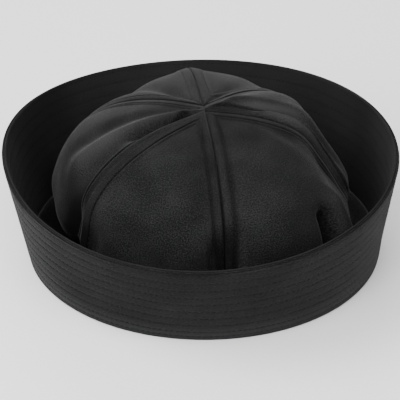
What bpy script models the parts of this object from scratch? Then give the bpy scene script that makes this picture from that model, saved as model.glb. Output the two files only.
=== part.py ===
# Sailor cap: a six-gore crown of stiff dark twill and a deep brim of two plies,
# turned up all the way round. Metres, +Z up, front seam towards -Y, foot on Z = 0.
# The section of the brim is carried round an oval, and each gore is a grid between
# two seams that is worked out from the oval, the crown's height and a domed profile.

import math

import bmesh
import bpy
import numpy as np

# Outside of the bottom fold
BASE_HALF_WIDTH = 0.0985
BASE_HALF_LENGTH = 0.0985

# Brim
BRIM_SLANT = 0.0605
BRIM_PLY = 0.0011
HEM_HEIGHT = 0.009
FOLD_RADIUS = 0.0016
LIP_ROUND = 0.0004

# Crown
CROWN_HEIGHT = 0.0844
CROWN_WALL = 0.0015
JOIN_SPREAD = 0.0035
GORE_PUFF = 0.0022
FOLD_RELIEF = 0.0050
FOLD_FADE = 0.010
SEAM_LIFT = 0.0050
SEAM_PINCH = 0.0070
PINCH_WIDE = 0.0080
TIP_CUT = 0.0013

# Shares of a gore, up from its foot or across it: where a seam's lift and its pinch
# end, and over how much of the gore a fold fades out at its tip and at its edges
LIFT_TOP = 0.95
PINCH_TOP = 0.5
FOLD_TIP = 0.1
FOLD_EDGE = 0.25

# Between neighbouring cloths
CLEARANCE = 0.0003

# Shape of the crown's profile: 2 is an ellipse, more is fuller
SHOULDER_OUT = 2.35
SHOULDER_UP = 2.6

# Where the tuck above the crown's foot ends, as a share of the crown's rise
TUCK_TOP = 0.4

# Shapes of the soft reliefs over a gore, as powers of the sine across or up it
PUFF_ACROSS = 0.7
PUFF_UP = 1.2
BROW_UP = 2.2
TUCK_UP = 0.7

# Fineness of the meshes, and of the curve that the dome's even steps come from
ROUND_STEPS = 72
GORE_ACROSS = 16
GORE_UP = 16
WALL_STEPS = 3
DOME_SAMPLES = 600
DOME_STEP = 0.004

# Lean of the brim from upright in degrees, at eight even steps round the cap from
# the front towards +X
BRIM_LEAN = (23.5, 12.5, 8.0, 17.5, 28.0, 22.0, 11.5, 19.0)

# How far the slack crown is pushed in, as a share of its reach, at eight even steps
# round the cap from the front towards +X: at half its height, low down above its
# foot, and high up on its shoulder. Less than 0 stands out.
CROWN_SLUMP = (0.01, 0.05, 0.155, 0.07, 0.035, 0.04, 0.10, 0.01)
CROWN_TUCK = (0.0, 0.02, 0.13, 0.045, 0.01, 0.05, 0.20, 0.085)
CROWN_BROW = (-0.015, 0.02, 0.09, -0.025, 0.01, 0.0, -0.045, -0.035)

# Seams of the crown.
# name: angle at the base in degrees from the front towards +X,
# end: which end of the join on top it runs to, -1 front and +1 back,
# lift: how far it stands up, as a share of SEAM_LIFT, where the crown turns over
# pinch: how far its foot is gathered in, as a share of SEAM_PINCH
SEAMS = (
    {"name": "front", "angle": -1.0, "end": -1, "lift": 0.1, "pinch": 0.9},
    {"name": "front_right", "angle": 73.0, "end": -1, "lift": -0.05, "pinch": 0.3},
    {"name": "back_right", "angle": 129.0, "end": 1, "lift": -0.3, "pinch": 0.4},
    {"name": "back", "angle": 180.0, "end": 1, "lift": 1.5, "pinch": 0.5},
    {"name": "back_left", "angle": 236.0, "end": 1, "lift": -0.3, "pinch": 0.4},
    {"name": "front_left", "angle": 306.0, "end": -1, "lift": 0.5, "pinch": 0.8},
)

# Gores, each between two seams, with its puff as a share of GORE_PUFF
GORES = (
    {"name": "crown_gore_front_right", "seams": (0, 1), "puff": 1.0},
    {"name": "crown_gore_right", "seams": (1, 2), "puff": 0.9},
    {"name": "crown_gore_back_right", "seams": (2, 3), "puff": 0.7},
    {"name": "crown_gore_back_left", "seams": (3, 4), "puff": 0.5},
    {"name": "crown_gore_left", "seams": (4, 5), "puff": 1.0},
    {"name": "crown_gore_front_left", "seams": (5, 0), "puff": 1.0},
)

# Folds and dents. across and up run from 0 to 1 over a gore, up from its base.
# wide is the half width as a share of the base's half width, high is the height as
# a share of FOLD_RELIEF, and less than 0 is a dent.
FOLDS = (
    {"gore": 4, "across": (0.68, 0.64), "up": (0.92, 0.45), "wide": 0.09, "high": 0.8},
    {"gore": 4, "across": (0.85, 0.84), "up": (0.95, 0.50), "wide": 0.07, "high": -0.7},
    {"gore": 4, "across": (0.52, 0.50), "up": (0.70, 0.50), "wide": 0.07, "high": -0.3},
    {"gore": 5, "across": (0.08, 0.12), "up": (0.00, 0.27), "wide": 0.08, "high": -0.7},
    {"gore": 5, "across": (0.40, 0.56), "up": (0.32, 0.20), "wide": 0.09, "high": -0.4},
    {"gore": 0, "across": (0.53, 0.52), "up": (0.05, 0.33), "wide": 0.05, "high": -1.5},
    {"gore": 0, "across": (0.66, 0.66), "up": (0.12, 0.38), "wide": 0.08, "high": 0.6},
    {"gore": 0, "across": (0.74, 0.80), "up": (0.66, 0.40), "wide": 0.06, "high": -0.4},
    {"gore": 1, "across": (0.30, 0.40), "up": (0.35, 0.90), "wide": 0.14, "high": 0.9},
    {"gore": 2, "across": (0.25, 0.25), "up": (0.90, 0.35), "wide": 0.16, "high": -0.8},
    {"gore": 2, "across": (0.60, 0.55), "up": (0.35, 0.05), "wide": 0.09, "high": -0.4},
    {"gore": 3, "across": (0.55, 0.60), "up": (0.80, 0.45), "wide": 0.14, "high": -0.5},
    {"gore": 3, "across": (0.25, 0.20), "up": (0.30, 0.02), "wide": 0.08, "high": -0.5},
)

CLOTH_COLOURS = {
    "crown": (0.030, 0.030, 0.031, 1.0),
    "brim": (0.026, 0.026, 0.027, 1.0),
}


def clear_scene():
    for thing in list(bpy.data.objects):
        bpy.data.objects.remove(thing, do_unlink=True)


def cloth_material(name, colour):
    material = bpy.data.materials.new(name)
    material.use_nodes = True
    shader = material.node_tree.nodes["Principled BSDF"]
    shader.inputs["Base Color"].default_value = colour
    shader.inputs["Roughness"].default_value = 0.92
    shader.inputs["Metallic"].default_value = 0.0
    return material


def round_curve(values, angle):
    """Smooth closed curve through evenly spaced values, as a sum of waves."""
    count = len(values)
    waves = np.fft.rfft(values) / count
    total = np.full(np.shape(angle), waves[0].real)
    for order in range(1, count // 2):
        total = total + 2.0 * (waves[order] * np.exp(1j * order * angle)).real
    return total + (waves[count // 2] * np.exp(0.5j * count * angle)).real


def base_point(angle, inset):
    """Point of the base oval, moved inwards square to it."""
    across = BASE_HALF_LENGTH * np.sin(angle)
    along = -BASE_HALF_WIDTH * np.cos(angle)
    size = np.hypot(across, along)
    x = BASE_HALF_WIDTH * np.sin(angle) - inset * across / size
    y = -BASE_HALF_LENGTH * np.cos(angle) - inset * along / size
    return x, y


def section_point(angle, out, height):
    """World point at a distance out from the base oval and a height above the foot."""
    x, y = base_point(angle, -out)
    return np.stack([x, y, np.broadcast_to(height, np.shape(x))], axis=-1)


def wall_point(angle, depth, along):
    """Point of the brim's leaning wall.

    depth is measured from the outer face into the wall, along from the bend at the
    bottom fold up the slant.
    """
    lean = np.radians(round_curve(BRIM_LEAN, angle))
    reach = FOLD_RADIUS - depth
    out = -FOLD_RADIUS + reach * np.cos(lean) + along * np.sin(lean)
    height = FOLD_RADIUS - reach * np.sin(lean) + along * np.cos(lean)
    return section_point(angle, out, height)


def bend_points(angle, depth, steps):
    """Points round the outer bend of the fold, from the foot to the leaning wall."""
    lean = np.radians(round_curve(BRIM_LEAN, angle))
    reach = FOLD_RADIUS - depth
    points = []
    for share in np.linspace(0.0, 1.0, steps + 1)[:-1]:
        turn = share * (math.pi / 2 - lean)
        out = -FOLD_RADIUS + reach * np.sin(turn)
        points.append(section_point(angle, out, FOLD_RADIUS - reach * np.cos(turn)))
    return points


def fold_stack():
    """Thickness of the cloths side by side in the bottom fold."""
    return 3 * BRIM_PLY + CROWN_WALL + 3 * CLEARANCE


def outer_ply_section(angle):
    """Closed section of the outer ply: inner hem, foot, bend, wall, lip and back."""
    stack = fold_stack()
    centre_out = -stack + FOLD_RADIUS
    points = [section_point(angle, -stack, HEM_HEIGHT)]
    for share in (0.0, 0.5, 1.0):
        turn = share * math.pi / 2
        out = centre_out - FOLD_RADIUS * math.cos(turn)
        points.append(section_point(angle, out, FOLD_RADIUS * (1 - math.sin(turn))))
    points.extend(bend_points(angle, 0.0, 3))
    slant = BRIM_SLANT
    for along in np.linspace(0.0, slant - LIP_ROUND, WALL_STEPS + 1):
        points.append(wall_point(angle, 0.0, along))
    points.append(wall_point(angle, LIP_ROUND, slant))
    points.append(wall_point(angle, BRIM_PLY, slant))
    for along in np.linspace(slant, 0.0, WALL_STEPS + 1)[1:]:
        points.append(wall_point(angle, BRIM_PLY, along))
    points.extend(reversed(bend_points(angle, BRIM_PLY, 2)))
    reach = FOLD_RADIUS - BRIM_PLY
    points.append(section_point(angle, centre_out, BRIM_PLY))
    points.append(section_point(angle, centre_out - reach, FOLD_RADIUS))
    points.append(section_point(angle, centre_out - reach, HEM_HEIGHT))
    return points


def inner_ply_section(angle):
    """Closed section of the inner ply, which lines the outer one up to the lip."""
    face = BRIM_PLY + CLEARANCE
    back = face + BRIM_PLY
    points = []
    for along in np.linspace(0.0, BRIM_SLANT, WALL_STEPS + 1):
        points.append(wall_point(angle, face, along))
    points.append(wall_point(angle, back - LIP_ROUND, BRIM_SLANT))
    for along in np.linspace(BRIM_SLANT - LIP_ROUND, 0.0, WALL_STEPS + 1):
        points.append(wall_point(angle, back, along))
    return points


def centre_shift():
    """Move that puts the middle of the lip's box over the origin."""
    angles = ring_angles()
    lip = wall_point(angles, 0.0, BRIM_SLANT - LIP_ROUND)
    low = lip[:, :2].min(axis=0)
    high = lip[:, :2].max(axis=0)
    return np.append(-(low + high) / 2, 0.0)


def ring_angles():
    return np.arange(ROUND_STEPS) * 2 * math.pi / ROUND_STEPS


def add_object(name, vertices, faces, material):
    """Mesh object from computed vertices and faces, with outward normals."""
    mesh = bpy.data.meshes.new(name)
    mesh.from_pydata((vertices + centre_shift()).tolist(), [], faces)
    shape = bmesh.new()
    shape.from_mesh(mesh)
    bmesh.ops.recalc_face_normals(shape, faces=shape.faces)
    shape.to_mesh(mesh)
    shape.free()
    mesh.shade_smooth()
    mesh.set_sharp_from_angle(angle=math.radians(40))
    mesh.materials.append(material)
    thing = bpy.data.objects.new(name, mesh)
    bpy.context.scene.collection.objects.link(thing)
    return thing


def carry_round(name, section, material):
    """Closed ring: the section's points at every step round the cap, joined up."""
    rings = np.stack(section(ring_angles()), axis=1)
    steps, count = rings.shape[:2]
    faces = []
    for step in range(steps):
        after = (step + 1) % steps
        for point in range(count):
            follow = (point + 1) % count
            faces.append(
                (step * count + point, after * count + point,
                 after * count + follow, step * count + follow)
            )
    return add_object(name, rings.reshape(-1, 3), faces, material)


def dome_profile(up):
    """Distance out and height of the dome, as shares, at even steps along its curve."""
    turn = np.linspace(0.0, math.pi / 2, DOME_SAMPLES)
    out = np.cos(turn) ** (2 / SHOULDER_OUT)
    out[-1] = 0.0
    high = np.sin(turn) ** (2 / SHOULDER_UP)
    steps = np.hypot(np.diff(out), np.diff(high))
    length = np.append(0.0, np.cumsum(steps))
    length /= length[-1]
    return np.interp(up, length, out), np.interp(up, length, high)


def dome_floor():
    return HEM_HEIGHT + CLEARANCE


def crown_plane(angle, up):
    """Distance out and height of the slumped dome, as shares, at an angle round it."""
    out, high = dome_profile(up)
    low = np.clip(high / TUCK_TOP, 0.0, 1.0)
    push = round_curve(CROWN_SLUMP, angle) * np.sin(math.pi * high)
    push = push + round_curve(CROWN_TUCK, angle) * np.sin(math.pi * low ** TUCK_UP) ** 2
    push = push + round_curve(CROWN_BROW, angle) * np.sin(math.pi * high ** BROW_UP) ** 2
    return out * (1.0 - push), high


def crown_surface(angle, join_y, up):
    """Points and normals of the smooth dome, before gores puff and fold.

    The dome springs from the top of the hem. Each angle has a straight line in plan
    from the base oval to its place on the join along the top.
    """
    inset = 2 * (BRIM_PLY + CLEARANCE)
    base_x, base_y = base_point(angle, inset)
    rise = CROWN_HEIGHT - dome_floor()
    run_x = base_x
    run_y = base_y - join_y
    run = np.hypot(run_x, run_y)
    out, high = crown_plane(angle, up)
    out_after, high_after = crown_plane(angle, np.clip(up + DOME_STEP, 0.0, 1.0))
    out_before, high_before = crown_plane(angle, np.clip(up - DOME_STEP, 0.0, 1.0))
    slope_out = (out_after - out_before) * run
    slope_high = (high_after - high_before) * rise
    size = np.hypot(slope_out, slope_high)
    height = dome_floor() + high * rise
    points = np.stack([out * run_x, join_y + out * run_y, height], axis=-1)
    flat = slope_high / size / run
    normals = np.stack([flat * run_x, flat * run_y, -slope_out / size], axis=-1)
    return points, normals


def fold_height(gore, across, up):
    """Height of the gore's folds: a rounded ridge or dent along each line."""
    total = np.zeros(np.shape(across))
    for fold in FOLDS:
        if fold["gore"] != gore:
            continue
        start = np.array([fold["across"][0], fold["up"][0]])
        end = np.array([fold["across"][1], fold["up"][1]])
        line = end - start
        place = (across - start[0]) * line[0] + (up - start[1]) * line[1]
        share = np.clip(place / (line @ line), 0.0, 1.0)
        away = np.hypot(across - start[0] - share * line[0], up - start[1] - share * line[1])
        total += fold["high"] * np.exp(-((away / fold["wide"]) ** 2))
    return FOLD_RELIEF * total


def gore_points(number):
    """Outer and inner grids of one gore."""
    gore = GORES[number]
    first, second = (SEAMS[index] for index in gore["seams"])
    start = math.radians(first["angle"])
    end = math.radians(second["angle"])
    if end < start:
        end += 2 * math.pi
    reach = min(BASE_HALF_WIDTH, BASE_HALF_LENGTH)
    side = first["end"] != second["end"]
    tip = CLEARANCE / 2 if side else TIP_CUT
    shares = np.linspace(0.0, 1.0, DOME_SAMPLES)
    top = np.interp(-tip / reach, -dome_profile(shares)[0], shares)
    up = np.append(0.0, np.linspace(0.0, top, GORE_UP))[:, None]
    seam_joins = JOIN_SPREAD * np.array([first["end"], second["end"]])
    edge_first = crown_surface(np.array([start]), seam_joins[0], up)[0]
    edge_second = crown_surface(np.array([end]), seam_joins[1], up)[0]
    width = np.linalg.norm(edge_second - edge_first, axis=-1)
    margin = CLEARANCE / 2 / width
    across = margin + (1 - 2 * margin) * np.linspace(0.0, 1.0, GORE_ACROSS + 1)
    up = np.broadcast_to(up, across.shape)
    joins = seam_joins[0] + across * (seam_joins[1] - seam_joins[0])
    points, normals = crown_surface(start + across * (end - start), joins, up)
    fade = np.sin(math.pi * np.clip(up, 0.0, 1.0)) ** PUFF_UP
    edge = np.sin(math.pi * across)
    lift = first["lift"] * (1 - across) ** 3 + second["lift"] * across ** 3
    lift = SEAM_LIFT * lift * np.sin(math.pi * np.clip(up / LIFT_TOP, 0.0, 1.0)) ** 2
    puff = gore["puff"] * GORE_PUFF * edge ** PUFF_ACROSS * fade
    folds = fold_height(number, across, up) * np.clip(edge / FOLD_EDGE, 0.0, 1.0)
    folds *= np.clip((top - up) / FOLD_TIP, 0.0, 1.0)
    near_first = first["pinch"] * np.exp(-((across * width / PINCH_WIDE) ** 2))
    near_second = second["pinch"] * np.exp(-(((1 - across) * width / PINCH_WIDE) ** 2))
    low = np.clip(up / PINCH_TOP, 0.0, 1.0)
    folds -= SEAM_PINCH * (near_first + near_second) * np.sin(math.pi * low ** TUCK_UP) ** 2
    folds *= np.clip((points[..., 2] - dome_floor()) / FOLD_FADE, 0.0, 1.0)
    raised = points + normals * (puff + lift + folds)[..., None]
    raised[0, :, 2] = BRIM_PLY + CLEARANCE
    normals[:2, :, 2] = 0.0
    normals /= np.linalg.norm(normals, axis=-1, keepdims=True)
    return raised, raised - CROWN_WALL * normals


def add_gore(number, material):
    """One gore: its outer grid, its inner grid and the edges between them."""
    outer, inner = gore_points(number)
    rows, columns = outer.shape[:2]
    count = rows * columns
    faces = []
    for row in range(rows - 1):
        for column in range(columns - 1):
            corner = row * columns + column
            loop = (corner, corner + 1, corner + columns + 1, corner + columns)
            faces.append(loop)
            faces.append(tuple(count + index for index in reversed(loop)))
    rim = [column for column in range(columns)]
    rim += [row * columns + columns - 1 for row in range(1, rows)]
    rim += [(rows - 1) * columns + column for column in range(columns - 2, -1, -1)]
    rim += [row * columns for row in range(rows - 2, 0, -1)]
    for here, there in zip(rim, rim[1:] + rim[:1]):
        faces.append((there, here, count + here, count + there))
    vertices = np.concatenate([outer.reshape(-1, 3), inner.reshape(-1, 3)])
    return add_object(GORES[number]["name"], vertices, faces, material)


def build():
    clear_scene()
    brim_cloth = cloth_material("brim_twill", CLOTH_COLOURS["brim"])
    carry_round("brim_outer_ply", outer_ply_section, brim_cloth)
    lining_cloth = cloth_material("brim_inner_twill", CLOTH_COLOURS["brim"])
    carry_round("brim_inner_ply", inner_ply_section, lining_cloth)
    for number, gore in enumerate(GORES):
        add_gore(number, cloth_material(gore["name"] + "_twill", CLOTH_COLOURS["crown"]))


build()
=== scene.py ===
import math
import bpy
import numpy as np
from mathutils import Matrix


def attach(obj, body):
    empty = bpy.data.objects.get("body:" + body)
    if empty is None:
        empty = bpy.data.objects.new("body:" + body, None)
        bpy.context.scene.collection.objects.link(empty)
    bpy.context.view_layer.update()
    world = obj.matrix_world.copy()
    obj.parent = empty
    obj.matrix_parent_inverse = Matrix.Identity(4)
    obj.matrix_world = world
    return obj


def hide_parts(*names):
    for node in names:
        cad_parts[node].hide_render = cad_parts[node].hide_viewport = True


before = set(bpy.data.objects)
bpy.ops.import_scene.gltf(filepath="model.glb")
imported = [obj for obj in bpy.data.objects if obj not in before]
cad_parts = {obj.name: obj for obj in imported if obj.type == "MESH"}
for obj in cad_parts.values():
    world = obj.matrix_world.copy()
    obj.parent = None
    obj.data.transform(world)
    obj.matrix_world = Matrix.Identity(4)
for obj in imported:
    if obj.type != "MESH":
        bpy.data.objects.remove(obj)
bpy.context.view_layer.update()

# Sizes that the cap's pieces share, in metres, as the solids have them
cap = {
    "halfWidth": 0.0985, "halfLength": 0.0985,        # outside of the bottom fold
    "brimDepth": 0.0605, "ply": 0.0011, "hem": 0.009,
    "foldRadius": 0.0016, "edgeRound": 0.0004, "gap": 0.0003,
    "crownHeight": 0.0844, "crownWall": 0.0015, "joinSpread": 0.0035,
    "lean": (23.5, 12.5, 8.0, 17.5, 28.0, 22.0, 11.5, 19.0),   # degrees, eight even steps
    # how far the crown is pushed in, as a share of its reach, at eight even steps: at
    # half its height, low above its foot and high on its shoulder
    "slump": (0.01, 0.05, 0.155, 0.07, 0.035, 0.04, 0.10, 0.01),
    "tuck": (0.0, 0.02, 0.13, 0.045, 0.01, 0.05, 0.20, 0.085),
    "brow": (-0.015, 0.02, 0.09, -0.025, 0.01, 0.0, -0.045, -0.035),
    "tuckTop": 0.4, "tuckUp": 0.7, "browUp": 2.2,
    "shoulderOut": 2.35, "shoulderUp": 2.6,
    "roundSteps": 72,
}

# The view of the photograph: where the camera stands about the bottom fold's centre,
# and how far the aim moves from there, right and up in the picture
view = {
    "azimuth": -8.0, "elevation": 31.2, "distance": 1.0,
    "aimRight": -0.0024, "aimUp": 0.0241,
    "lens": 159.0, "sensor": 36.0,                    # millimetres
}


# Closed smooth curve through even steps: a sum of cosine and sine waves
def waveCurve(values, angle):
    count = len(values)
    waves = np.fft.rfft(values) / count
    total = np.full(np.shape(angle), waves[0].real)
    for order in range(1, count // 2):
        total = total + 2.0 * (waves[order] * np.exp(1j * order * angle)).real
    return total + (waves[count // 2] * np.exp(0.5j * count * angle)).real


# Soft step from 0 to 1 between two edges
def softStep(low, high, value):
    share = np.clip((value - low) / (high - low), 0.0, 1.0)
    return share * share * (3.0 - 2.0 * share)


# A rounded ridge: the bell curve of distance over width
def bell(distance, width):
    return np.exp(-((distance / width) ** 2))


# Mean radius of the bottom fold
def foldRound():
    return (cap["halfWidth"] + cap["halfLength"]) / 2.0


# Point of the base oval, moved square to it by an inset
def ovalPoint(angle, inset):
    across = cap["halfLength"] * np.sin(angle)
    along = -cap["halfWidth"] * np.cos(angle)
    size = np.hypot(across, along)
    x = cap["halfWidth"] * np.sin(angle) - inset * across / size
    y = -cap["halfLength"] * np.cos(angle) - inset * along / size
    return x, y


# Point at a distance out from the oval and a height above the foot
def sectionPoint(angle, out, height):
    x, y = ovalPoint(angle, -out)
    return np.stack([x, y, np.broadcast_to(height, np.shape(x))], axis=-1)


# Point of the leaning wall: depth goes into the wall from its outer face, along goes
# up the slant from the bend
def wallPoint(angle, depth, along):
    lean = np.radians(waveCurve(cap["lean"], angle))
    reach = cap["foldRadius"] - depth
    out = -cap["foldRadius"] + reach * np.cos(lean) + along * np.sin(lean)
    height = cap["foldRadius"] - reach * np.sin(lean) + along * np.cos(lean)
    return sectionPoint(angle, out, height)


# The solids stand with the middle of the lip's box over the origin, so every piece
# moves by the same step
def middleShift():
    angles = np.arange(cap["roundSteps"]) * 2.0 * math.pi / cap["roundSteps"]
    lip = wallPoint(angles, 0.0, cap["brimDepth"] - cap["edgeRound"])[:, :2]
    return np.append(-(lip.min(axis=0) + lip.max(axis=0)) / 2.0, 0.0)


shift = middleShift()


# Mesh object from whole arrays: corners by loop, faces as rows of four, UV by corner
def meshPiece(name, points, quads, uvs, material, marks=None):
    mesh = bpy.data.meshes.new(name)
    mesh.vertices.add(len(points))
    mesh.vertices.foreach_set("co", (points + shift).astype(np.float32).ravel())
    mesh.loops.add(quads.size)
    mesh.loops.foreach_set("vertex_index", quads.astype(np.int32).ravel())
    mesh.polygons.add(len(quads))
    mesh.polygons.foreach_set("loop_start", np.arange(0, quads.size, 4, dtype=np.int32))
    mesh.polygons.foreach_set("loop_total", np.full(len(quads), 4, dtype=np.int32))
    layer = mesh.uv_layers.new(name="cloth")
    layer.data.foreach_set("uv", uvs.astype(np.float32).ravel())
    if marks is not None:
        mark = mesh.attributes.new("paintedShading", "FLOAT", "POINT")
        mark.data.foreach_set("value", marks.astype(np.float32).ravel())
    mesh.update(calc_edges=True)
    mesh.validate()
    mesh.shade_smooth()
    mesh.materials.append(material)
    piece = bpy.data.objects.new(name, mesh)
    bpy.context.scene.collection.objects.link(piece)
    return piece


# Quads of a grid whose rows and columns both close on themselves, with the UV of each
# corner from the running lengths over rows and columns
def ringQuads(rows, columns, rowLengths, columnLengths):
    row = np.arange(rows)[:, None]
    column = np.arange(columns)[None, :]
    rowNext, columnNext = (row + 1) % rows, (column + 1) % columns
    quads = np.stack([
        row * columns + column, row * columns + columnNext,
        rowNext * columns + columnNext, rowNext * columns + column,
    ], axis=-1).reshape(-1, 4)
    low, high = rowLengths[:-1][:, None], rowLengths[1:][:, None]
    near, far = columnLengths[:-1][None, :], columnLengths[1:][None, :]
    one = np.ones(row.shape) * np.ones(column.shape)
    uvs = np.stack([
        np.stack([near * one, low * one], axis=-1), np.stack([far * one, low * one], axis=-1),
        np.stack([far * one, high * one], axis=-1), np.stack([near * one, high * one], axis=-1),
    ], axis=-2).reshape(-1, 4, 2)
    return quads, uvs


# Small helper nodes for the cloth materials
def addNode(tree, kind, **inputs):
    node = tree.nodes.new(kind)
    for name, value in inputs.items():
        node.inputs[name].default_value = value
    return node


def mixColour(tree, factor, first, second):
    node = tree.nodes.new("ShaderNodeMix")
    node.data_type = "RGBA"
    for socket, value in (("Factor", factor), ("A", first), ("B", second)):
        slot = [item for item in node.inputs if item.name == socket and item.enabled][0]
        if isinstance(value, (tuple, float)):
            slot.default_value = value
        else:
            tree.links.new(value, slot)
    return [item for item in node.outputs if item.enabled][0]


def mathNode(tree, operation, first, second):
    node = tree.nodes.new("ShaderNodeMath")
    node.operation = operation
    for slot, value in zip(node.inputs, (first, second)):
        if isinstance(value, float):
            slot.default_value = value
        else:
            tree.links.new(value, slot)
    return node.outputs[0]


# What the three looks of the twill share. Blotches are counted per metre of cloth, and the
# slubs, the thicker threads, are longer along the cloth's first way than its second.
weave = {
    "slant": 58.0, "distortion": 1.2, "detail": 1.0, "detailScale": 2.0,
    "slubStretch": (420.0, 1500.0, 1.0), "slubDetail": 2.0, "slubRoughness": 0.6,
    "grainDetail": 3.0, "grainRoughness": 0.7, "blotches": 38.0, "blotchRoughness": 0.5,
    "grainShare": 0.75, "darkBelow": 0.45, "paleAbove": 0.65,
    "twillShare": 0.6, "weaveDepth": 0.00025, "napDepth": 0.0005,
}


# Black cotton twill: diagonal ridges across the threads, thicker threads here and there
# and a mottled dye. Its point attribute darkens the sunk lines and hollows with painted shade
# where it is more than 0, and paints light on crests where it is less.
def twillCloth(name, look):
    material = bpy.data.materials.new(name)
    material.use_nodes = True
    tree = material.node_tree
    shader = tree.nodes["Principled BSDF"]
    shader.inputs["Roughness"].default_value = look["roughness"]
    shader.inputs["Specular IOR Level"].default_value = look["specular"]
    shader.inputs["Sheen Weight"].default_value = look["sheen"]
    shader.inputs["Sheen Roughness"].default_value = look["sheenRoughness"]
    shader.inputs["Sheen Tint"].default_value = (1.0, 1.0, 1.0, 1.0)
    cloth = tree.nodes.new("ShaderNodeUVMap")
    cloth.uv_map = "cloth"
    turned = addNode(tree, "ShaderNodeMapping", Rotation=(0.0, 0.0, math.radians(weave["slant"])))
    tree.links.new(cloth.outputs["UV"], turned.inputs["Vector"])
    twill = addNode(tree, "ShaderNodeTexWave", Scale=look["ridgesPerMetre"] / math.pi)
    twill.wave_profile = "SIN"
    twill.inputs["Distortion"].default_value = weave["distortion"]
    twill.inputs["Detail"].default_value = weave["detail"]
    twill.inputs["Detail Scale"].default_value = weave["detailScale"]
    tree.links.new(turned.outputs["Vector"], twill.inputs["Vector"])
    stretched = addNode(tree, "ShaderNodeMapping", Scale=weave["slubStretch"])
    tree.links.new(cloth.outputs["UV"], stretched.inputs["Vector"])
    slubs = addNode(tree, "ShaderNodeTexNoise", Scale=1.0, Detail=weave["slubDetail"],
                    Roughness=weave["slubRoughness"])
    tree.links.new(stretched.outputs["Vector"], slubs.inputs["Vector"])
    grain = addNode(tree, "ShaderNodeTexNoise", Scale=look["grain"], Detail=weave["grainDetail"],
                    Roughness=weave["grainRoughness"])
    tree.links.new(cloth.outputs["UV"], grain.inputs["Vector"])
    blotch = addNode(tree, "ShaderNodeTexNoise", Scale=weave["blotches"], Detail=weave["grainDetail"],
                     Roughness=weave["blotchRoughness"])
    tree.links.new(cloth.outputs["UV"], blotch.inputs["Vector"])
    ramp = tree.nodes.new("ShaderNodeValToRGB")
    ramp.color_ramp.elements[0].position = weave["darkBelow"]
    ramp.color_ramp.elements[0].color = look["dark"]
    ramp.color_ramp.elements[1].position = weave["paleAbove"]
    ramp.color_ramp.elements[1].color = look["pale"]
    speck = mathNode(tree, "MULTIPLY", grain.outputs["Fac"], weave["grainShare"])
    mottle = mathNode(tree, "MULTIPLY", blotch.outputs["Fac"], 1.0 - weave["grainShare"])
    tree.links.new(mathNode(tree, "ADD", speck, mottle), ramp.inputs["Fac"])
    # painted shade where the point attribute is above 0 and painted light where it is below, mixed into
    # the cloth's colour
    paintedShading = tree.nodes.new("ShaderNodeAttribute")
    paintedShading.attribute_name = "paintedShading"
    paintedShadeShare = mathNode(tree, "MAXIMUM", paintedShading.outputs["Fac"], 0.0)
    paintedLight = mathNode(tree, "MAXIMUM", mathNode(tree, "MULTIPLY", paintedShading.outputs["Fac"], -1.0), 0.0)
    faded = mixColour(tree, paintedLight, ramp.outputs["Color"], look["paintedLight"])
    colour = mixColour(tree, paintedShadeShare, faded, look["sunk"])
    tree.links.new(colour, shader.inputs["Base Color"])
    ridges = mathNode(tree, "MULTIPLY", twill.outputs["Fac"], weave["twillShare"])
    threads = mathNode(tree, "MULTIPLY", slubs.outputs["Fac"], 1.0 - weave["twillShare"])
    fine = addNode(tree, "ShaderNodeBump", Strength=look["weave"], Distance=weave["weaveDepth"])
    tree.links.new(mathNode(tree, "ADD", ridges, threads), fine.inputs["Height"])
    rough = addNode(tree, "ShaderNodeBump", Strength=look["nap"], Distance=weave["napDepth"])
    tree.links.new(grain.outputs["Fac"], rough.inputs["Height"])
    tree.links.new(fine.outputs["Normal"], rough.inputs["Normal"])
    tree.links.new(rough.outputs["Normal"], shader.inputs["Normal"])
    return material


threadDye = {
    "colour": (0.006, 0.006, 0.006, 1.0), "palerBy": 1.8, "roughness": 0.85, "specular": 0.08,
    "spots": 900.0, "fuzz": 0.4, "fuzzDepth": 0.0001,
}


# Thread: spotted between its dye and a paler one, with the same spots as fuzz
def threadLook(name):
    material = bpy.data.materials.new(name)
    material.use_nodes = True
    tree = material.node_tree
    shader = tree.nodes["Principled BSDF"]
    shader.inputs["Roughness"].default_value = threadDye["roughness"]
    shader.inputs["Specular IOR Level"].default_value = threadDye["specular"]
    place = tree.nodes.new("ShaderNodeTexCoord")
    tint = addNode(tree, "ShaderNodeTexNoise", Scale=threadDye["spots"], Detail=1.0)
    tree.links.new(place.outputs["Object"], tint.inputs["Vector"])
    colour = threadDye["colour"]
    pale = tuple(threadDye["palerBy"] * value for value in colour[:3]) + (1.0,)
    tree.links.new(mixColour(tree, tint.outputs["Fac"], colour, pale), shader.inputs["Base Color"])
    fuzz = addNode(tree, "ShaderNodeBump", Strength=threadDye["fuzz"], Distance=threadDye["fuzzDepth"])
    tree.links.new(tint.outputs["Fac"], fuzz.inputs["Height"])
    tree.links.new(fuzz.outputs["Normal"], shader.inputs["Normal"])
    return material


stitchSize = {
    "length": 0.0024, "width": 0.00042, "height": 0.00030,
    "taper": 0.9, "sunk": 0.25, "rings": 4, "sides": 4,
}


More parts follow.
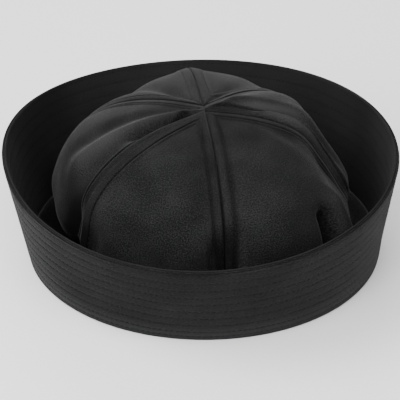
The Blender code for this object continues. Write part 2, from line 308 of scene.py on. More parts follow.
# Stitches as short rounded threads: each is a small tube with closed ends, set by its
# centre, its direction and the cloth's outward normal. Its ends taper as a circle does.
# Half the height is the thread's own, half a bow up in the middle, and a share is sunk.
def stitchPiece(name, centres, ways, outs, material):
    rings, sides = stitchSize["rings"], stitchSize["sides"]
    lengthwise = np.linspace(-1.0, 1.0, rings)[:, None]
    around = np.arange(sides)[None, :] * 2.0 * math.pi / sides
    fat = np.sqrt(np.clip(1.0 - stitchSize["taper"] * lengthwise ** 2, 0.0, 1.0))
    bow = 1.0 - lengthwise ** 2
    x = stitchSize["length"] / 2.0 * lengthwise * np.ones(sides)
    y = stitchSize["width"] / 2.0 * fat * np.cos(around)
    z = stitchSize["height"] * ((fat * np.sin(around) + bow) / 2.0 - stitchSize["sunk"])
    shape = np.stack([x, y, z], axis=-1).reshape(-1, 3)
    sideways = np.cross(outs, ways)
    points = (centres[:, None, :] + shape[None, :, 0:1] * ways[:, None, :]
              + shape[None, :, 1:2] * sideways[:, None, :] + shape[None, :, 2:3] * outs[:, None, :])
    ring = np.arange(rings - 1)[:, None]
    side = np.arange(sides)[None, :]
    after = (side + 1) % sides
    body = np.stack([ring * sides + side, (ring + 1) * sides + side,
                     (ring + 1) * sides + after, ring * sides + after], axis=-1).reshape(-1, 4)
    last = (rings - 1) * sides
    caps = np.array([[0, 1, 2, 3], [last + 3, last + 2, last + 1, last]])
    loops = np.concatenate([body, caps])
    quads = (loops[None] + np.arange(len(centres))[:, None, None] * rings * sides).reshape(-1, 4)
    uvs = np.zeros((len(quads), 4, 2))
    return meshPiece(name, points.reshape(-1, 3), quads, uvs, material)


# Value of each column of a list of points at lengths along their line
def atLength(wanted, length, values):
    return np.stack([np.interp(wanted, length, values[:, axis]) for axis in range(3)], axis=-1)


# Places at an even step along a line of points, with the line's direction there, taken
# from the points a short glance ahead and behind
def alongLine(points, outs, step, closed, glance=0.0003):
    if closed:
        points = np.concatenate([points, points[:1]])
        outs = np.concatenate([outs, outs[:1]])
    length = np.append(0.0, np.cumsum(np.linalg.norm(np.diff(points, axis=0), axis=1)))
    count = max(int(length[-1] / step), 1)
    at = (np.arange(count) + 0.5) * length[-1] / count
    centres, normals = atLength(at, length, points), atLength(at, length, outs)
    ways = atLength(at + glance, length, points) - atLength(at - glance, length, points)
    ways /= np.linalg.norm(ways, axis=1, keepdims=True)
    normals -= ways * (normals * ways).sum(axis=1, keepdims=True)
    normals /= np.linalg.norm(normals, axis=1, keepdims=True)
    return centres, ways, normals


# The turned-up brim. edgeRow is the first machine row's distance down from the lip, and
# foldRow the last one's height up from the bend. No even row comes closer to the last one
# than lastRoom of a step.
brim = {
    "edgeRow": 0.0022, "rowStep": 0.0064, "foldRow": 0.0027, "lastRoom": 0.55,
    "puff": 0.00017, "rowWidth": 0.0009, "pucker": 0.00009, "puckerSpread": 1.4,
    "stitchStep": 0.0030, "rowOffset": 2.1,           # radians from one row's stitches to the next
    "innerShare": 0.6,                                # the inner face's relief to the outer's
    "columns": 640, "wallRows": 88, "lipRound": 0.00045,
    "hemRow": 0.0025, "hemDip": 0.00015, "hemDipWidth": 0.0008,
    # the wall's length round its middle, as a share of the fold's
    "clothRound": 1.06,
    # how plump the channels stand at eight even steps round: pressed flat in front
    "plump": (0.28, 0.35, 0.65, 0.9, 0.9, 1.0, 1.0, 0.65),
    # painted shade as dark spots at the stitches, and a pale band of painted bounce light from the floor
    # above the bend
    "markWidth": 0.0007, "paintedLightShare": 0.6, "paintedLightRow": 0.003, "paintedLightWidth": 0.007,
    # the wobble grows from the bend to wobbleFull of the wall's height, and all relief dies
    # out from lipCalm of it to the lip
    "wobble": 0.00035, "wobbleFull": 0.3, "lipCalm": 0.97,
}

# Waves by which the stitched wall wanders: one that swings over, from foot to lip, and two
# that climb. Turns are round the cap, start is in radians, climb in radians to the metre.
sway = {"turns": 3, "start": 0.7, "over": 2.6, "foot": 0.4}
ripples = (
    {"share": 0.6, "turns": 7, "start": 2.0, "climb": 30.0},
    {"share": 0.35, "turns": 13, "start": 1.0, "climb": -55.0},
)

# Rows of corners on each stretch of the outer ply's section
stretchRows = {
    "hem": 8, "corner": 7, "foot": 4, "bend": 8, "lip": 7, "back": 14, "inside": 4, "hemEdge": 5,
}

twillOutside = {
    "roughness": 0.95, "specular": 0.05, "sheen": 0.10, "sheenRoughness": 0.28,
    "dark": (0.0045, 0.0045, 0.0047, 1.0), "pale": (0.0135, 0.0135, 0.0140, 1.0),
    # on the line below, the first colour paints shade and the second paints light, both mixed in by the
    # point attribute
    "sunk": (0.006, 0.006, 0.006, 1.0), "paintedLight": (0.022, 0.022, 0.0225, 1.0),
    "ridgesPerMetre": 1700.0, "grain": 900.0, "weave": 0.5, "nap": 0.5,
}
# The crown's and the inside's copies of the same twill are paler than the brim's: painted light. The
# crown's copy also has a darker colour for painted shade and a paler one for painted light.
twillCrownPaintedLighter = dict(twillOutside, grain=1500.0, nap=0.6, pale=(0.028, 0.028, 0.0285, 1.0), sheen=0.09,
                  paintedLight=(0.040, 0.040, 0.041, 1.0), sunk=(0.002, 0.002, 0.002, 1.0))
twillInsidePaintedLighter = dict(twillOutside, grain=1500.0, dark=(0.010, 0.010, 0.010, 1.0),
                   pale=(0.018, 0.018, 0.0185, 1.0), sheen=0.03)


# Distances of the stitch rows up the slant: one by the lip, then even steps down, and
# one just above the bottom fold
def rowPlaces():
    top = cap["brimDepth"] - brim["edgeRow"]
    bottom = brim["foldRow"]
    places = np.arange(top, bottom + brim["rowStep"] * brim["lastRoom"], -brim["rowStep"])
    return np.append(places, bottom)


# Slow wander of the wall: the product of two sines, round and over, and the sum of sines
# that turn as they climb
def wallWander(angle, along):
    over = np.sin(sway["over"] * along / cap["brimDepth"] + sway["foot"])
    wander = np.sin(sway["turns"] * angle + sway["start"]) * over
    for wave in ripples:
        wander += wave["share"] * np.sin(wave["turns"] * angle + wave["start"] + wave["climb"] * along)
    return wander


# Relief of a stitched wall: it swells between rows, dips along them, puckers as a cosine
# from stitch to stitch and wanders a little round the cap. The marks go with it: painted shade in the
# dips at the stitches, and painted light, as a negative mark, in a band above the bend.
def stitchedRelief(angle, along, share):
    near = np.abs(along[..., None] - rowPlaces())
    distance = near.min(axis=-1)
    turns = angle * foldRound() / brim["stitchStep"]
    beat = np.cos(turns * 2.0 * math.pi + near.argmin(axis=-1) * brim["rowOffset"])
    plump = waveCurve(brim["plump"], angle)
    swell = brim["puff"] * plump * (1.0 - bell(distance, brim["rowWidth"]))
    pucker = brim["pucker"] * beat * bell(distance, brim["rowWidth"] * brim["puckerSpread"])
    height = along / cap["brimDepth"]
    wander = brim["wobble"] * wallWander(angle, along) * softStep(0.0, brim["wobbleFull"], height)
    calm = 1.0 - softStep(brim["lipCalm"], 1.0, height)
    # painted shade in the dips at the stitches
    sunk = bell(distance, brim["markWidth"]) * (1.0 + beat) / 2.0 * plump
    # painted bounce light from the floor: a pale band above the bend
    paintedLight = brim["paintedLightShare"] * bell(along - brim["paintedLightRow"], brim["paintedLightWidth"])
    return (share * (swell + pucker) + wander) * calm, (sunk - paintedLight) * share ** 3


# Rounded lip of a ply whose outer face lies at a depth in the wall: half a turn over it
def lipPoints(angle, depth):
    turn = np.linspace(0.0, math.pi, stretchRows["lip"])[1:-1, None] + 0 * angle
    along = cap["brimDepth"] - brim["lipRound"] * (1.0 - np.sin(turn))
    return wallPoint(angle + 0 * turn, depth + cap["ply"] / 2.0 * (1.0 - np.cos(turn)), along)


# Outer ply: hem inside the cap, foot, bend, stitched wall, rounded lip and plain back.
# Every stretch is a block of rows over all columns, joined into one closed section.
def outerPly(material):
    angle = np.linspace(0.0, 2.0 * math.pi, brim["columns"], endpoint=False)[None, :]
    radius, ply, slant = cap["foldRadius"], cap["ply"], cap["brimDepth"]
    stack = 3 * ply + cap["crownWall"] + 3 * cap["gap"]
    lean = np.radians(waveCurve(cap["lean"], angle))
    rows, edge = stretchRows, cap["edgeRound"]
    blocks, marks = [], []

    def add(points, mark=None):
        blocks.append(points)
        marks.append(np.zeros(points.shape[:2]) if mark is None else mark)

    hemUp = np.linspace(cap["hem"] - edge, radius, rows["hem"])[:, None]
    dip = brim["hemDip"] * bell(hemUp - cap["hem"] + brim["hemRow"], brim["hemDipWidth"])
    add(sectionPoint(angle + 0 * hemUp, -stack + dip, hemUp))
    turn = np.linspace(0.0, math.pi / 2.0, rows["corner"])[1:, None]
    middle = -stack + radius
    add(sectionPoint(angle + 0 * turn, middle - radius * np.cos(turn), radius * (1 - np.sin(turn))))
    foot = np.linspace(middle, -radius, rows["foot"])[1:-1, None]
    add(sectionPoint(angle + 0 * foot, foot, 0.0 * foot))
    turn = np.linspace(0.0, 1.0, rows["bend"])[:-1, None] * (math.pi / 2.0 - lean)
    add(sectionPoint(angle + 0 * turn, -radius + radius * np.sin(turn), radius * (1 - np.cos(turn))))
    along = np.linspace(0.0, slant - brim["lipRound"], brim["wallRows"])[:, None] + 0 * angle
    relief, mark = stitchedRelief(angle + 0 * along, along, 1.0)
    add(wallPoint(angle + 0 * along, -relief, along), mark)
    add(lipPoints(angle, 0.0))
    along = np.linspace(slant - brim["lipRound"], 0.0, rows["back"])[:, None] + 0 * angle
    add(wallPoint(angle + 0 * along, ply + 0 * along, along))
    inner = radius - ply
    turn = np.linspace(1.0, 0.0, rows["inside"])[1:, None] * (math.pi / 2.0 - lean)
    add(sectionPoint(angle + 0 * turn, -radius + inner * np.sin(turn), radius - inner * np.cos(turn)))
    turn = np.linspace(math.pi / 2.0, 0.0, rows["inside"])[:, None] + 0 * angle
    add(sectionPoint(angle + 0 * turn, middle - inner * np.cos(turn), radius - inner * np.sin(turn)))
    hemDown = np.linspace(radius, cap["hem"] - edge, rows["inside"])[1:, None] + 0 * angle
    add(sectionPoint(angle + 0 * hemDown, middle - inner, hemDown))
    turn = np.linspace(0.0, math.pi, rows["hemEdge"])[1:-1, None] + 0 * angle
    add(sectionPoint(angle + 0 * turn, -stack + ply / 2.0 * (1.0 + np.cos(turn)),
                     cap["hem"] - edge + edge * np.sin(turn)))
    return closedRing("outerPly", blocks, marks, material)


# Inner ply: its stitched face looks at the crown, its plain face at the outer ply
def innerPly(material):
    angle = np.linspace(0.0, 2.0 * math.pi, brim["columns"], endpoint=False)[None, :]
    face, lip = cap["ply"] + cap["gap"], cap["brimDepth"] - brim["lipRound"]
    along = np.linspace(0.0, lip, stretchRows["back"])[:, None] + 0 * angle
    blocks = [wallPoint(angle + 0 * along, face + 0 * along, along), lipPoints(angle, face)]
    marks = [np.zeros(block.shape[:2]) for block in blocks]
    along = np.linspace(lip, 0.0, brim["wallRows"])[:, None] + 0 * angle
    relief, mark = stitchedRelief(angle + 0 * along, along, brim["innerShare"])
    blocks.append(wallPoint(angle + 0 * along, face + cap["ply"] + relief, along))
    marks.append(mark)
    return closedRing("innerPly", blocks, marks, material)


# Join blocks of rows into one closed section carried round the cap
def closedRing(name, blocks, marks, material):
    points = np.concatenate(blocks, axis=0)
    mark = np.concatenate(marks, axis=0)
    rows, columns = points.shape[:2]
    middle = points[:, 0]
    steps = np.linalg.norm(np.diff(np.concatenate([middle, middle[:1]]), axis=0), axis=1)
    up = np.append(0.0, np.cumsum(steps))
    around = np.linspace(0.0, 2.0 * math.pi * foldRound() * brim["clothRound"], columns + 1)
    quads, uvs = ringQuads(rows, columns, up, around)
    return meshPiece(name, points.reshape(-1, 3), quads, uvs, material, mark)


# Rows of stitches on one face of the brim, which lies at a depth in the wall and faces out,
# 1, or in, -1: each row is a line round the wall at its place up the slant
def brimStitches(name, depth, facing, material, lineSteps=1440):
    angle = np.linspace(0.0, 2.0 * math.pi, lineSteps, endpoint=False)
    share = 1.0 if facing > 0 else brim["innerShare"]
    parts = []
    for place in rowPlaces():
        along = np.full(angle.shape, place)
        relief = stitchedRelief(angle, along, share)[0]
        points = wallPoint(angle, depth - facing * relief, along)
        outs = facing * (wallPoint(angle, -cap["ply"], along) - wallPoint(angle, 0.0, along)) / cap["ply"]
        parts.append(alongLine(points, outs, brim["stitchStep"], True))
    centres, ways, outs = (np.concatenate(group) for group in zip(*parts))
    return stitchPiece(name, centres, ways, outs, material)


# Seams of the crown: angle at the base in degrees from the front towards +X, the end of
# the top join it runs to, how far it stands up where the crown turns over, and how far
# its foot is gathered in. ditch and groove are the depths of the seam and of its lines
# of topstitching, as shares, and soft makes these lines wider.
# pinch, ditch and groove also set how dark the painted shade is in the gathered hollow at a seam's foot
# and along its lines
seams = (
    {"name": "front", "angle": -1.0, "end": -1, "lift": 0.1, "pinch": 1.6,
     "ditch": 1.0, "groove": 0.8, "soft": 2.2},
    {"name": "frontRight", "angle": 73.0, "end": -1, "lift": -0.05, "pinch": 0.3,
     "ditch": 0.5, "groove": 1.0},
    {"name": "backRight", "angle": 129.0, "end": 1, "lift": -0.3, "pinch": 0.4,
     "ditch": 0.9, "groove": 0.4},
    {"name": "back", "angle": 180.0, "end": 1, "lift": 1.5, "pinch": 0.5,
     "ditch": 1.0, "groove": 0.0},
    {"name": "backLeft", "angle": 236.0, "end": 1, "lift": -0.3, "pinch": 0.4,
     "ditch": 1.0, "groove": 0.7},
    {"name": "frontLeft", "angle": 306.0, "end": -1, "lift": 0.5, "pinch": 0.3,
     "ditch": -0.15, "groove": 1.1},
)

# Gores: the solid each one stands for, its two seams, and its puff
gores = (
    {"name": "goreFrontRight", "node": "crown_gore_front_right", "seams": (0, 1), "puff": 1.0},
    {"name": "goreRight", "node": "crown_gore_right", "seams": (1, 2), "puff": 0.9},
    {"name": "goreBackRight", "node": "crown_gore_back_right", "seams": (2, 3), "puff": 0.7},
    {"name": "goreBackLeft", "node": "crown_gore_back_left", "seams": (3, 4), "puff": 0.5},
    {"name": "goreLeft", "node": "crown_gore_left", "seams": (4, 5), "puff": 1.0},
    {"name": "goreFrontLeft", "node": "crown_gore_front_left", "seams": (5, 0), "puff": 1.0},
)

# Folds and dents over a gore: across and up run from 0 to 1, wide is the half width as
# a share of the gore, high is in units of the crown's relief, less than 0 for a dent.
# fade is painted light along the fold: how much paler the cloth is painted where it catches light, and
# painted shade where it is less than 0.
folds = (
    {"gore": 0, "across": (0.545, 0.545), "up": (0.05, 0.34), "wide": 0.034, "high": -2.0, "fade": -0.7},
    {"gore": 0, "across": (0.65, 0.64), "up": (0.10, 0.36), "wide": 0.072, "high": 1.5, "fade": 0.2},
    {"gore": 0, "across": (0.90, 0.94), "up": (0.42, 0.12), "wide": 0.10, "high": -0.3, "fade": -0.6},
    {"gore": 0, "across": (0.20, 0.80), "up": (0.90, 0.90), "wide": 0.14, "high": 0.0, "fade": -0.4},
    {"gore": 0, "across": (0.25, 0.45), "up": (0.58, 0.40), "wide": 0.20, "high": 0.1, "fade": 0.10},
    {"gore": 0, "across": (0.80, 0.85), "up": (0.68, 0.44), "wide": 0.10, "high": -0.25},
    {"gore": 1, "across": (0.30, 0.40), "up": (0.35, 0.90), "wide": 0.14, "high": 0.7},
    {"gore": 1, "across": (0.08, 0.09), "up": (0.76, 0.30), "wide": 0.06, "high": 0.6, "fade": 0.55},
    {"gore": 1, "across": (0.55, 0.62), "up": (0.92, 0.70), "wide": 0.16, "high": 0.7, "fade": 0.35},
    {"gore": 1, "across": (0.78, 0.78), "up": (0.94, 0.74), "wide": 0.11, "high": 0.3, "fade": 0.25},
    {"gore": 1, "across": (0.26, 0.22), "up": (0.82, 0.56), "wide": 0.10, "high": 0.25, "fade": 0.60},
    {"gore": 1, "across": (0.40, 0.32), "up": (0.10, 0.46), "wide": 0.22, "high": 0.0, "fade": -0.9},
    {"gore": 2, "across": (0.25, 0.25), "up": (0.90, 0.35), "wide": 0.16, "high": -0.35},
    {"gore": 2, "across": (0.60, 0.55), "up": (0.35, 0.05), "wide": 0.09, "high": -0.4},
    {"gore": 3, "across": (0.30, 0.70), "up": (0.80, 0.75), "wide": 0.30, "high": 0.0, "fade": 0.20},
    {"gore": 3, "across": (0.55, 0.60), "up": (0.80, 0.45), "wide": 0.14, "high": -0.5},
    {"gore": 3, "across": (0.25, 0.20), "up": (0.30, 0.02), "wide": 0.08, "high": -0.5},
    {"gore": 4, "across": (0.715, 0.72), "up": (0.92, 0.52), "wide": 0.085, "high": 0.6, "fade": 0.40},
    {"gore": 4, "across": (0.82, 0.84), "up": (0.93, 0.74), "wide": 0.050, "high": -0.9},
    {"gore": 4, "across": (0.95, 0.95), "up": (0.10, 0.31), "wide": 0.07, "high": -1.0, "fade": -1.2},
    {"gore": 4, "across": (0.20, 0.90), "up": (0.16, 0.24), "wide": 0.17, "high": 0.0, "fade": -1.0},
    {"gore": 4, "across": (0.30, 0.58), "up": (0.46, 0.42), "wide": 0.14, "high": 0.0, "fade": -0.6},
    {"gore": 4, "across": (0.50, 0.56), "up": (0.74, 0.58), "wide": 0.08, "high": -0.35},
    {"gore": 4, "across": (0.55, 0.90), "up": (0.30, 0.38), "wide": 0.17, "high": -0.4, "fade": -0.6},
    {"gore": 4, "across": (0.78, 0.80), "up": (0.62, 0.52), "wide": 0.09, "high": 0.0, "fade": 0.22},
    {"gore": 4, "across": (0.10, 0.25), "up": (0.90, 0.60), "wide": 0.20, "high": 0.0, "fade": 0.12},
    {"gore": 4, "across": (0.97, 0.96), "up": (0.88, 0.45), "wide": 0.06, "high": 0.0, "fade": -0.5},
    {"gore": 5, "across": (0.08, 0.12), "up": (0.00, 0.27), "wide": 0.08, "high": -0.7},
    {"gore": 5, "across": (0.42, 0.58), "up": (0.34, 0.25), "wide": 0.07, "high": -0.6, "fade": -0.3},
    {"gore": 5, "across": (0.20, 0.80), "up": (0.90, 0.90), "wide": 0.16, "high": 0.0, "fade": -0.7},
    {"gore": 5, "across": (0.03, 0.04), "up": (0.88, 0.40), "wide": 0.06, "high": 0.0, "fade": -0.4},
    {"gore": 5, "across": (0.02, 0.02), "up": (0.10, 0.29), "wide": 0.07, "high": 0.0, "fade": -0.8},
)

crown = {
    "puff": 0.0022, "puffAcross": 0.7, "puffUp": 1.2,
    "lift": 0.0050, "liftTop": 0.95,
    # folds die out over foldFade above the hem, beside the seams and over foldTip at the tip
    "relief": 0.0050, "foldFade": 0.010, "foldEdge": 4.0, "foldTip": 0.1, "fadeWidth": 0.8,
    "pinch": 0.0060, "pinchFlat": 0.0022, "pinchSlope": 0.0075, "pinchTop": 0.44, "pinchFade": 0.18,
    "tip": 0.0004, "seamGap": 0.00004,
    "acrossSteps": 120, "upSteps": 100, "domeSteps": 1200, "crowding": 0.7,
    "nudge": 0.004,                               # how far up and down the slope is taken
    "allowance": 0.0066, "allowanceFade": 0.15, "ridge": 0.00055,
    # ditchMark is the width of the painted shade along the ditch; grooveShade and gatherShade set how
    # dark the painted shade is under the topstitching and in the gathered hollows
    "ditch": 0.0008, "ditchWidth": 0.00055, "ditchMark": 0.0007,
    "topstitch": 0.0050, "groove": 0.00045, "grooveWidth": 0.00060, "grooveShade": 0.8,
    "stitchStep": 0.0030, "stitchRoom": 2.6,
    # the allowance inside is a thicker strip, between these distances from the seam
    "lining": 0.0005, "liningFull": 0.0060, "liningEnd": 0.0065,
    "wrinkle": 0.00035, "gatherShade": 0.3,
    # painted shade low on the crown, down inside the brim, fading out between these heights
    "shadeLow": 0.018, "shadeHigh": 0.040,
}

# Waves of the fine wrinkles: sizes are in radians per metre, phases run up to theirs, and
# the height climbs by climb of the size and skews by skew of the depth
wrinkles = {"seed": 40, "waves": 9, "sizes": (60.0, 260.0), "phases": 6.3, "climb": 0.7, "skew": 0.4}


# Dome in one upright plane: out and height as shares, at even steps along the curve,
# from the ellipse with raised powers
def domeProfile(up):
    turn = np.linspace(0.0, math.pi / 2.0, crown["domeSteps"])
    out = np.cos(turn) ** (2.0 / cap["shoulderOut"])
    out[-1] = 0.0
    high = np.sin(turn) ** (2.0 / cap["shoulderUp"])
    length = np.append(0.0, np.cumsum(np.hypot(np.diff(out), np.diff(high))))
    length /= length[-1]
    return np.interp(up, length, out), np.interp(up, length, high)


# The same dome pushed in by the three closed curves: slump, tuck and brow each have
# their own sine bump over the height
def crownPlane(angle, up):
    out, high = domeProfile(up)
    low = np.clip(high / cap["tuckTop"], 0.0, 1.0)
    push = waveCurve(cap["slump"], angle) * np.sin(math.pi * high)
    push = push + waveCurve(cap["tuck"], angle) * np.sin(math.pi * low ** cap["tuckUp"]) ** 2
    push = push + waveCurve(cap["brow"], angle) * np.sin(math.pi * high ** cap["browUp"]) ** 2
    return out * (1.0 - push), high


# Smooth crown: a straight line in plan from the base, inside both plies of the brim, to the
# join on top, with the dome's height over it. The normal is square to the dome in that plane.
def crownSurface(angle, joinY, up):
    baseX, baseY = ovalPoint(angle, 2 * (cap["ply"] + cap["gap"]))
    floor = cap["hem"] + cap["gap"]
    rise = cap["crownHeight"] - floor
    runX, runY = baseX, baseY - joinY
    run = np.hypot(runX, runY)
    out, high = crownPlane(angle, up)
    outAfter, highAfter = crownPlane(angle, np.clip(up + crown["nudge"], 0.0, 1.0))
    outBefore, highBefore = crownPlane(angle, np.clip(up - crown["nudge"], 0.0, 1.0))
    slopeOut, slopeHigh = (outAfter - outBefore) * run, (highAfter - highBefore) * rise
    size = np.hypot(slopeOut, slopeHigh)
    points = np.stack([out * runX, joinY + out * runY, floor + high * rise], axis=-1)
    flat = slopeHigh / size / run
    normals = np.stack([flat * runX, flat * runY, -slopeOut / size], axis=-1)
    return points, normals


# Height of the folds of one gore, a bell curve off each fold's line, and the painted light
# and shade along them, a narrower one
def foldHeight(number, across, up):
    total, pale = np.zeros(np.shape(across)), np.zeros(np.shape(across))
    for fold in folds:
        if fold["gore"] != number:
            continue
        start = np.array([fold["across"][0], fold["up"][0]])
        line = np.array([fold["across"][1], fold["up"][1]]) - start
        place = (across - start[0]) * line[0] + (up - start[1]) * line[1]
        share = np.clip(place / (line @ line), 0.0, 1.0)
        away = np.hypot(across - start[0] - share * line[0], up - start[1] - share * line[1])
        total += fold["high"] * bell(away, fold["wide"])
        # painted light on the folds' crests and painted shade in their hollows
        pale += fold.get("fade", 0.0) * bell(away, fold["wide"] * crown["fadeWidth"])
    return crown["relief"] * total, pale


# Height beside a seam by the distance from it: a low ridge over the pressed allowance, a
# ditch on the seam and a groove under the topstitching
def seamHeight(distance, ditch, groove, soft):
    least, most = (crown["allowance"] * (1.0 + side * crown["allowanceFade"]) for side in (-1, 1))
    ridge = crown["ridge"] * (1.0 - softStep(least, most, distance))
    ditchHeight = ditch * crown["ditch"] * bell(distance, crown["ditchWidth"])
    line = bell(distance - crown["topstitch"], crown["grooveWidth"] * soft)
    return ridge - ditchHeight - groove * crown["groove"] * line


# Fine wrinkles of a gore: a sum of waves of random turn, size and phase, each a sine over
# the plan times a sine over the height
def wrinkleHeight(number, points):
    rng = np.random.default_rng(wrinkles["seed"] + number)
    total = np.zeros(points.shape[:-1])
    for wave in range(wrinkles["waves"]):
        turn, size = rng.uniform(0.0, math.pi), rng.uniform(*wrinkles["sizes"])
        phase = rng.uniform(0.0, wrinkles["phases"])
        over = points[..., 0] * math.cos(turn) + points[..., 1] * math.sin(turn)
        high = points[..., 2] + points[..., 1] * wrinkles["skew"]
        total += np.sin(size * over + phase) * np.sin(wrinkles["climb"] * size * high + 2 * phase)
    return crown["wrinkle"] * total / 3.0


# Net of one gore on the smooth crown. Rows run up from the base, which has two so that the
# lower one can drop to the foot, to the tip. Columns crowd together by the seams.
def goreNet(first, second):
    start, end = math.radians(first["angle"]), math.radians(second["angle"])
    end += 2.0 * math.pi if end < start else 0.0
    tip = crown["seamGap"] / 2.0 if first["end"] != second["end"] else crown["tip"]
    shares = np.linspace(0.0, 1.0, crown["domeSteps"])
    reach = min(cap["halfWidth"], cap["halfLength"])
    top = np.interp(-tip / reach, -domeProfile(shares)[0], shares)
    up = np.concatenate([[0.0, 0.0], np.linspace(0.0, top, crown["upSteps"])[1:]])[:, None]
    joins = cap["joinSpread"] * np.array([first["end"], second["end"]])
    nearEdge = crownSurface(np.array([start]), joins[0], up)[0]
    farEdge = crownSurface(np.array([end]), joins[1], up)[0]
    width = np.linalg.norm(farEdge - nearEdge, axis=-1)
    even = np.linspace(0.0, 1.0, crown["acrossSteps"] + 1)
    crowded = even - crown["crowding"] * np.sin(2.0 * math.pi * even) / (2.0 * math.pi)
    margin = crown["seamGap"] / 2.0 / width
    across = margin + (1.0 - 2.0 * margin) * crowded
    up = np.broadcast_to(up, across.shape)
    joinY = joins[0] + across * (joins[1] - joins[0])
    points, normals = crownSurface(start + across * (end - start), joinY, up)
    return {"across": across, "up": up, "top": top, "width": width, "points": points, "normals": normals}


# How far a gore is gathered in by its seams: in full beside a seam, less down a soft slope,
# and fading out up the crown
def gatherShare(net, first, second):
    flat, end = crown["pinchFlat"], crown["pinchFlat"] + crown["pinchSlope"]
    near, far = net["across"] * net["width"], (1.0 - net["across"]) * net["width"]
    share = first["pinch"] * (1.0 - softStep(flat, end, near))
    share = share + second["pinch"] * (1.0 - softStep(flat, end, far))
    return share * (1.0 - softStep(crown["pinchTop"] - crown["pinchFade"], crown["pinchTop"], net["up"]))


# Sheets of one gore, outer and inner, with its marks and the lengths across it. The marks are
# painted shade along the seam lines, in the gathered hollows and low down, and painted light
# and shade along the folds. The puff is a bump of raised sines, the lift a cubed share of
# each seam's own times a squared sine, and all finer relief ends above the hem.
def goreSheets(number):
    gore = gores[number]
    first, second = (seams[index] for index in gore["seams"])
    net = goreNet(first, second)
    across, up, points, normals = net["across"], net["up"], net["points"], net["normals"]
    nearFirst = across < 0.5
    distance = np.where(nearFirst, across, 1.0 - across) * net["width"]
    ditch, groove = (np.where(nearFirst, first[key], second[key]) for key in ("ditch", "groove"))
    soft = np.where(nearFirst, first.get("soft", 1.0), second.get("soft", 1.0))
    clearOfHem = np.clip((points[..., 2] - cap["hem"] - cap["gap"]) / crown["foldFade"], 0.0, 1.0)
    edge = np.sin(math.pi * across)
    puff = edge ** crown["puffAcross"] * np.sin(math.pi * up) ** crown["puffUp"]
    puff = gore["puff"] * crown["puff"] * puff
    lift = first["lift"] * (1.0 - across) ** 3 + second["lift"] * across ** 3
    lift = crown["lift"] * lift * np.sin(math.pi * np.clip(up / crown["liftTop"], 0.0, 1.0)) ** 2
    pinch = gatherShare(net, first, second)
    relief, pale = foldHeight(number, across, up)
    relief = relief * np.clip(crown["foldEdge"] * edge, 0.0, 1.0)
    relief = relief * np.clip((net["top"] - up) / crown["foldTip"], 0.0, 1.0) - crown["pinch"] * pinch
    fine = seamHeight(distance, ditch, groove, soft) + edge * wrinkleHeight(number, points)
    outer = points + normals * (puff + lift + (relief + fine) * clearOfHem)[..., None]
    outer[0, :, 2] = cap["ply"] + cap["gap"]
    normals[:2, :, 2] = 0.0
    normals /= np.linalg.norm(normals, axis=-1, keepdims=True)
    lining = 1.0 - softStep(crown["liningFull"], crown["liningEnd"], distance)
    lining = crown["lining"] * lining * clearOfHem
    inner = outer - normals * (cap["crownWall"] + lining)[..., None]
    # painted shade along the seam ditch, under the topstitching and in the gathered hollows
    stitched = bell(distance - crown["topstitch"], crown["grooveWidth"] * soft)
    lines = np.maximum(ditch, 0.0) * bell(distance, crown["ditchMark"])
    lines = lines + groove * stitched * crown["grooveShade"]
    dark = np.clip(lines + crown["gatherShade"] * pinch, 0.0, 1.0) * clearOfHem
    # painted shade low on the crown, gone above shadeHigh
    unfaded = 1.0 - softStep(crown["shadeLow"], crown["shadeHigh"], outer[..., 2])
    marks = np.clip(np.maximum(dark, unfaded) - pale, -1.0, 1.0)
    return {"outer": outer, "inner": inner, "marks": marks, "acrossLength": across * net["width"]}


# One gore: outer sheet, inner sheet and the four edges between them
def gorePiece(name, sheets, material, innerPlace=0.3):
    outer, acrossLength = sheets["outer"], sheets["acrossLength"]
    rows, columns = outer.shape[:2]
    count = rows * columns
    grid = np.arange(count).reshape(rows, columns)
    face = np.stack([grid[:-1, :-1], grid[:-1, 1:], grid[1:, 1:], grid[1:, :-1]], axis=-1).reshape(-1, 4)
    rim = np.concatenate([grid[0, :-1], grid[:-1, -1], grid[-1, :0:-1], grid[:0:-1, 0]])
    after = np.roll(rim, -1)
    edges = np.stack([after, rim, rim + count, after + count], axis=-1)
    quads = np.concatenate([face, face[:, ::-1] + count, edges])
    steps = np.linalg.norm(np.diff(outer[:, columns // 2], axis=0), axis=1)
    height = np.append(0.0, np.cumsum(steps))[:, None] + 0 * acrossLength
    centred = acrossLength - acrossLength[:, columns // 2][:, None]
    place = np.stack([centred, height], axis=-1).reshape(-1, 2)
    place = np.concatenate([place, place + innerPlace])
    points = np.concatenate([outer.reshape(-1, 3), sheets["inner"].reshape(-1, 3)])
    marks = np.concatenate([sheets["marks"].ravel(), np.zeros(count)])
    return meshPiece(name, points, quads, place[quads], material, marks)


# Topstitching on a gore: two lines, one by each seam, at the topstitch distance, as far as
# the gore is wide enough for both
def goreStitchLines(sheets):
    outer, acrossLength = sheets["outer"], sheets["acrossLength"]
    width = acrossLength.max(axis=1, keepdims=True)
    lines = []
    for distance in (crown["topstitch"] + 0 * width, width - crown["topstitch"]):
        index = np.abs(acrossLength - distance).argmin(axis=1)
        rows = np.arange(2, len(index) - 2)
        rows = rows[width[rows, 0] > crown["topstitch"] * crown["stitchRoom"]]
        low = np.clip(index[rows] - 1, 0, outer.shape[1] - 3)
        sideways = outer[rows, low + 2] - outer[rows, low]
        upward = outer[rows + 1, index[rows]] - outer[rows - 1, index[rows]]
        outs = np.cross(sideways, upward)
        outs /= np.linalg.norm(outs, axis=1, keepdims=True)
        lines.append(alongLine(outer[rows, index[rows]], outs, crown["stitchStep"], False))
    return lines


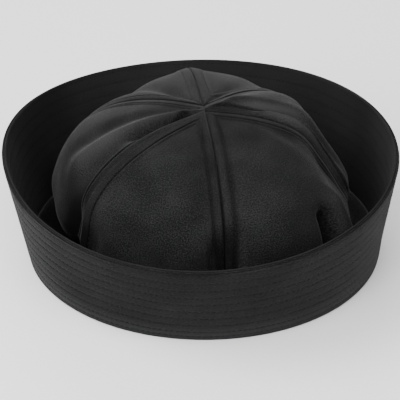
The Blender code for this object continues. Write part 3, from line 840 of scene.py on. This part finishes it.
# All topstitching of the crown, as one piece
def crownStitches(allSheets, material):
    parts = [line for sheets in allSheets for line in goreStitchLines(sheets)]
    centres, ways, outs = (np.concatenate(group) for group in zip(*parts))
    return stitchPiece("crownTopstitching", centres, ways, outs, material)


floorLook = {"half": 4.0, "colour": (0.96, 0.96, 0.96, 1.0), "roughness": 0.9}


# Floor: one wide sheet, pale and plain
def paleFloor():
    half = floorLook["half"]
    points = np.array([[-half, -half, 0.0], [half, -half, 0.0], [half, half, 0.0], [-half, half, 0.0]])
    material = bpy.data.materials.new("paleFloor")
    material.use_nodes = True
    shader = material.node_tree.nodes["Principled BSDF"]
    shader.inputs["Base Color"].default_value = floorLook["colour"]
    shader.inputs["Roughness"].default_value = floorLook["roughness"]
    floor = meshPiece("floor", points - shift, np.array([[0, 1, 2, 3]]), points[None, :, :2], material)


# Soft boxes: where each stands, how wide it is and its power. All look at the crown.
softBoxes = (
    {"name": "frontLeftBox", "place": (-1.3, -1.2, 0.9), "wide": 1.4, "power": 42.0},
    {"name": "leftBox", "place": (-1.2, 0.0, 1.5), "wide": 1.4, "power": 34.0},
    {"name": "frontBox", "place": (0.0, -1.2, 1.6), "wide": 1.4, "power": 29.0},
    {"name": "rightBox", "place": (1.2, -1.3, 0.9), "wide": 1.4, "power": 13.0},
    {"name": "backBox", "place": (0.0, 1.7, 1.0), "wide": 1.4, "power": 24.0},
)
skyGlow = {"colour": (1.0, 1.0, 1.0, 1.0), "strength": 0.3}
crownMiddle = (0.0, 0.0, 0.04)


# The soft boxes as round area lamps, and an even glow from all round
def studioLight():
    for box in softBoxes:
        lamp = bpy.data.lights.new(box["name"], "AREA")
        lamp.shape = "DISK"
        lamp.size = box["wide"]
        lamp.energy = box["power"]
        thing = bpy.data.objects.new(box["name"], lamp)
        bpy.context.scene.collection.objects.link(thing)
        thing.location = box["place"]
        back = np.array(box["place"]) - np.array(crownMiddle)
        thing.rotation_euler = backTurn(back / np.linalg.norm(back))
    world = bpy.data.worlds.new("studio")
    bpy.context.scene.world = world
    world.use_nodes = True
    glow = world.node_tree.nodes["Background"]
    glow.inputs["Color"].default_value = skyGlow["colour"]
    glow.inputs["Strength"].default_value = skyGlow["strength"]


# Turn of a thing whose back, its own +Z, points along a direction
def backTurn(back):
    tilt = math.acos(back[2])
    swing = math.atan2(back[1], back[0]) + math.pi / 2.0
    return (tilt, 0.0, swing)


# The camera, a distance from the fold's centre, turned to the moved aim
def photoCamera():
    azimuth, elevation = math.radians(view["azimuth"]), math.radians(view["elevation"])
    back = np.array([math.sin(azimuth) * math.cos(elevation),
                     -math.cos(azimuth) * math.cos(elevation), math.sin(elevation)])
    right = np.array([math.cos(azimuth), math.sin(azimuth), 0.0])
    upward = np.cross(back, right)
    place = shift + view["distance"] * back
    aim = shift + view["aimRight"] * right + view["aimUp"] * upward
    away = (place - aim) / np.linalg.norm(place - aim)
    lens = bpy.data.cameras.new("photoCamera")
    lens.lens = view["lens"]
    lens.sensor_width = view["sensor"]
    camera = bpy.data.objects.new("photoCamera", lens)
    bpy.context.scene.collection.objects.link(camera)
    camera.location = place
    camera.rotation_euler = backTurn(away)
    bpy.context.scene.camera = camera


photoCamera()
studioLight()
paleFloor()
print("camera, lights and floor set")

outsideCloth = twillCloth("blackTwillBrim", twillOutside)
insideCloth = twillCloth("blackTwillInsidePaintedLighter", twillInsidePaintedLighter)
crownCloth = twillCloth("blackTwillCrownPaintedLighter", twillCrownPaintedLighter)
thread = threadLook("blackThread")
print("cloth and thread made")

brimOuter = outerPly(outsideCloth)
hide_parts("brim_outer_ply")
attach(brimOuter, "root")
brimInner = innerPly(insideCloth)
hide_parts("brim_inner_ply")
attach(brimInner, "root")
print("brim plies made")

outerRows = brimStitches("brimOuterStitches", 0.0, 1, thread)
innerRows = brimStitches("brimInnerStitches", 2 * cap["ply"] + cap["gap"], -1, thread)
for rows, slot in ((outerRows, "brim_outer_twill"), (innerRows, "brim_inner_twill")):
    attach(rows, "root")
print("brim rows stitched")

crownSheets = [goreSheets(number) for number in range(len(gores))]
for gore, sheets in zip(gores, crownSheets):
    piece = gorePiece(gore["name"], sheets, crownCloth)
    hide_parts(gore["node"])
    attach(piece, "root")
    print("gore made:", gore["name"])

topstitching = crownStitches(crownSheets, thread)
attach(topstitching, "root")
print("crown topstitched")
